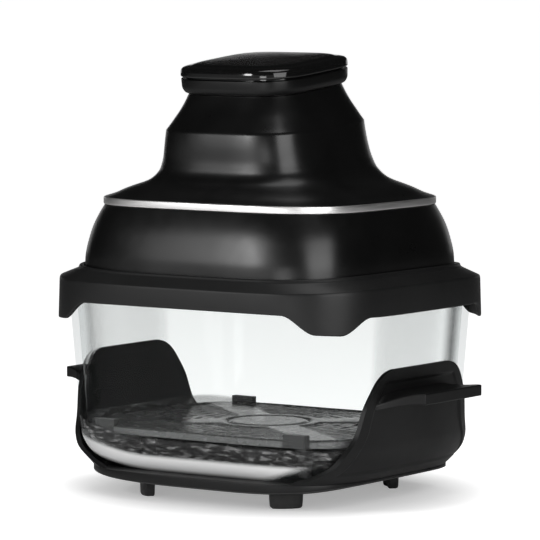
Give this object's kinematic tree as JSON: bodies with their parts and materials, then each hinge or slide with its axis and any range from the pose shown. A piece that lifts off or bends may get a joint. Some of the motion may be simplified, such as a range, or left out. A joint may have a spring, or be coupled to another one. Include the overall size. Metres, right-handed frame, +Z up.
{
  "type": "lift-off glass air fryer",
  "caption": "Glass bowl air fryer: a heating head lifts off a lid ring, which lifts off a tapered glass bowl held in a cradle with two side grips.",
  "frame": {"origin": "centre of the bounding box, on the floor under the feet", "axes": "+Z up, -Y towards the front of the fryer, +X towards the grip on the user's right"},
  "size_m": [0.306, 0.219, 0.3072],
  "materials": {
    "dark_plastic": "dark grey, fine matte grain",
    "head_plastic": "black, satin matte",
    "touch_panel": "black, high gloss",
    "bright_trim": "satin silver",
    "clear_glass": "clear, polished",
    "non_stick": "black non-stick coating",
    "silicone": "soft matte grey",
    "feet": "black matte",
    "sheet_steel": "plain rolled steel",
    "heater_tube": "oxidised steel tube",
    "insulation": "pressed mineral fibre",
    "boards": "green laminate",
    "winding": "lacquered copper wire",
    "pale_plastic": "natural moulded plastic"
  },
  "bodies": {
    "cradle_body": {"cradle": "dark_plastic", "foot_front_left": "feet", "foot_rear_left": "feet", "foot_front_right": "feet", "foot_rear_right": "feet"},
    "bowl_body": {"glass_bowl": "clear_glass"},
    "plate_body": {"crisper_plate": "non_stick", "plate_bumper_front_left": "silicone", "plate_bumper_rear_left": "silicone", "plate_bumper_front_right": "silicone", "plate_bumper_rear_right": "silicone"},
    "lid_body": {"lid_ring": "dark_plastic", "lid_gasket": "silicone"},
    "head_body": {"head_gasket": "silicone", "lower_housing": "head_plastic", "inlet_gland": "feet", "trim_band": "bright_trim", "upper_housing": "head_plastic", "rim_collar": "head_plastic", "touch_panel_cover": "touch_panel", "touch_board": "boards", "air_hood": "sheet_steel", "insulation_mat": "insulation", "heat_shield": "sheet_steel", "thermal_cutout": "pale_plastic", "heating_element": "heater_tube", "heater_guard": "sheet_steel", "motor": "sheet_steel", "motor_bracket": "sheet_steel", "board_carrier": "dark_plastic", "power_board": "boards", "relay": "pale_plastic", "transformer": "winding", "interlock_bracket": "sheet_steel", "interlock_switch": "dark_plastic", "plunger_spring": "sheet_steel"},
    "rotor_body": {"motor_shaft": "sheet_steel", "fan_nut": "sheet_steel", "hot_air_fan": "sheet_steel", "cooling_fan": "dark_plastic"},
    "plunger_body": {"interlock_plunger": "pale_plastic"}
  },
  "joints": [
    {"name": "bowl_lift", "type": "slide", "parent": "cradle_body", "child": "bowl_body", "axis": [0, 0, 1], "range_m": [0, 0.12]},
    {"name": "plate_lift", "type": "slide", "parent": "bowl_body", "child": "plate_body", "axis": [0, 0, 1], "range_m": [0, 0.08]},
    {"name": "lid_lift", "type": "slide", "parent": "bowl_body", "child": "lid_body", "axis": [0, 0, 1], "range_m": [0, 0.06]},
    {"name": "head_lift", "type": "slide", "parent": "lid_body", "child": "head_body", "axis": [0, 0, 1], "range_m": [0, 0.1]},
    {"name": "fan_spin", "type": "hinge", "parent": "head_body", "child": "rotor_body", "pos_m": [0, 0, 0.17], "axis": [0, 0, 1], "continuous": true},
    {"name": "interlock_press", "type": "slide", "parent": "head_body", "child": "plunger_body", "axis": [0, 0, 1], "range_m": [0, 0.002], "stiffness_N_per_m": 150, "springref_m": -0.004, "deforming": ["plunger_spring"]}
  ]
}
